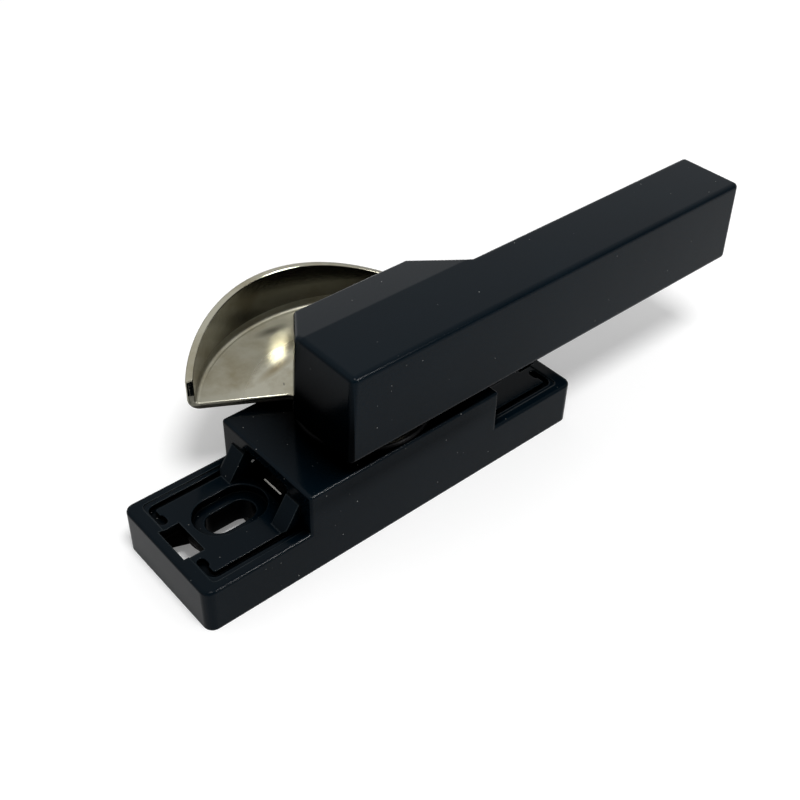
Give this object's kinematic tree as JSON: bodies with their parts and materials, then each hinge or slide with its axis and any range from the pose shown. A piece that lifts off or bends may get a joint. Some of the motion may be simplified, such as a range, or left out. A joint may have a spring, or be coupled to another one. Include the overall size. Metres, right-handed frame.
{
  "type": "crescent lock",
  "caption": "Sliding window crescent lock: slotted case with open cover seats, a turning nickel-plated crescent hook and a square black lever.",
  "frame": {"origin": "on the back (mounting) face, on the lever's pivot axis", "axes": "+Z out of the mounting face toward the room, +X along the case toward the grip when locked, +Y toward the keeper side"},
  "size_m": [0.1139, 0.0383, 0.0331],
  "materials": {
    "black_coat": "satin black coat on a zinc die-casting",
    "nickel_plate": "nickel-plated pressed steel",
    "turned_steel": "bright turned steel",
    "spring_steel": "bright spring steel",
    "bush_bronze": "oiled sintered bronze",
    "slip_nylon": "matt black nylon",
    "zinc_plate": "zinc-plated screw"
  },
  "bodies": {
    "base": {"base_case": "black_coat", "back_plate": "black_coat", "plate_screw_1": "zinc_plate", "plate_screw_2": "zinc_plate", "plate_screw_3": "zinc_plate", "plate_screw_4": "zinc_plate", "upper_bush": "bush_bronze", "lower_bush": "bush_bronze", "thrust_washer": "slip_nylon", "detent_spring": "spring_steel", "stop_pin_locked": "turned_steel", "stop_pin_open": "turned_steel"},
    "lever": {"handle": "black_coat", "crescent": "nickel_plate", "pivot_shaft": "turned_steel", "detent_disc": "turned_steel", "retaining_clip": "spring_steel", "shim_washer": "turned_steel"}
  },
  "joints": [
    {"name": "lever_turn", "type": "hinge", "parent": "base", "child": "lever", "pos_m": [0, 0, 0], "axis": [0, 0, 1], "range_deg": [-180, 0], "deforming": ["detent_spring"]}
  ]
}
